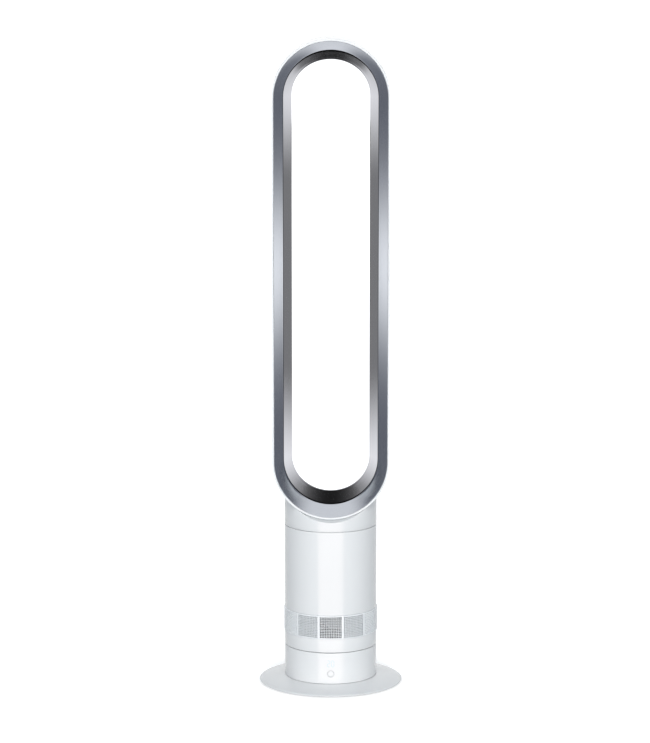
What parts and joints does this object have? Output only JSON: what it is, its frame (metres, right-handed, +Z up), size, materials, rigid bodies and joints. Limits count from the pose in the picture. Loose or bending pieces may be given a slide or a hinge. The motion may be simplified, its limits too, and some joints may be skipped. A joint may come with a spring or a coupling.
{
  "type": "bladeless fan",
  "caption": "Bladeless tower fan: a tall racetrack-shaped air loop on a cylinder that turns on a round domed base, with impeller, swing drive and power button.",
  "frame": {"origin": "on the floor, under the centre of the round base", "axes": "+Z up along the turning axis, the front of the loop, the display and the button face -Y, +X to the right seen from the front"},
  "size_m": [0.2228, 0.2228, 1.0069],
  "materials": {
    "white_gloss": "smooth high-gloss moulded plastic",
    "silver_metallic": "satin metallic silver coating with a soft sheen",
    "grey_ring": "satin grey ring",
    "cyan_digits": "softly lit cyan segments, flush with the housing",
    "black_rubber": "matt rubber",
    "white_rubber": "matt pale rubber",
    "inner_plastic": "matt moulded plastic",
    "impeller_plastic": "glass-filled dark plastic",
    "acetal": "natural low-friction plastic",
    "steel": "bright zinc-plated and ground steel",
    "magnet": "dark sintered magnet",
    "copper": "enamelled copper wire",
    "circuit": "green solder mask",
    "black_plastic": "black moulded component bodies",
    "foam": "open-cell acoustic foam",
    "cable": "grey-black cable sheath"
  },
  "bodies": {
    "base": {"base_plate": "white_gloss", "rubber_feet": "black_rubber", "base_housing": "white_gloss", "display_digits": "cyan_digits", "button_bezel": "grey_ring", "cord_gland": "white_rubber", "base_floor": "inner_plastic", "base_chassis": "inner_plastic", "bearing_ring": "acetal", "oscillation_motor": "steel", "motor_screws": "steel", "power_board": "circuit", "board_parts": "black_plastic", "control_board": "circuit", "display_module": "black_plastic", "infrared_receiver": "black_plastic", "push_switch": "black_plastic", "base_screws": "steel", "base_loom": "cable"},
    "button": {"power_button": "white_gloss"},
    "pinion": {"drive_pinion": "acetal", "drive_shaft": "steel"},
    "upper_body": {"turntable": "inner_plastic", "hub_retainer": "inner_plastic", "ring_gear": "acetal", "body_screws": "steel", "body_shell": "white_gloss", "intake_grille": "white_gloss", "inlet_bellmouth": "inner_plastic", "impeller_housing": "inner_plastic", "motor_bucket_lower": "inner_plastic", "motor_bucket_upper": "inner_plastic", "guide_vanes": "inner_plastic", "motor_stator": "steel", "motor_windings": "copper", "motor_bearings": "steel", "motor_mount": "black_rubber", "motor_board": "circuit", "housing_seal": "black_rubber", "sound_foam": "foam", "wiring_loom": "cable", "air_duct": "inner_plastic", "loop_neck": "white_gloss", "loop_screws": "steel", "outer_casing": "white_gloss", "inner_casing": "silver_metallic", "front_trim": "silver_metallic", "slot_spacers": "inner_plastic"},
    "rotor": {"impeller": "impeller_plastic", "motor_shaft": "steel", "motor_rotor": "magnet"}
  },
  "joints": [
    {"name": "oscillation", "type": "hinge", "parent": "base", "child": "upper_body", "pos_m": [0, 0, 0.0611], "axis": [0, 0, 1], "range_deg": [-35, 35]},
    {"name": "pinion_spin", "type": "hinge", "parent": "base", "child": "pinion", "pos_m": [0, 0.03375, 0.053], "axis": [0, 0, 1], "range_deg": [-141, 141]},
    {"name": "impeller_spin", "type": "hinge", "parent": "upper_body", "child": "rotor", "pos_m": [0, 0, 0.15], "axis": [0, 0, 1], "continuous": true},
    {"name": "power_button", "type": "slide", "parent": "base", "child": "button", "axis": [0, 1, 0], "range_m": [0, 0.001], "stiffness_N_per_m": 1500}
  ],
  "couplings": [
    {"joint": "pinion_spin", "follows": "oscillation", "ratio": 4}
  ]
}
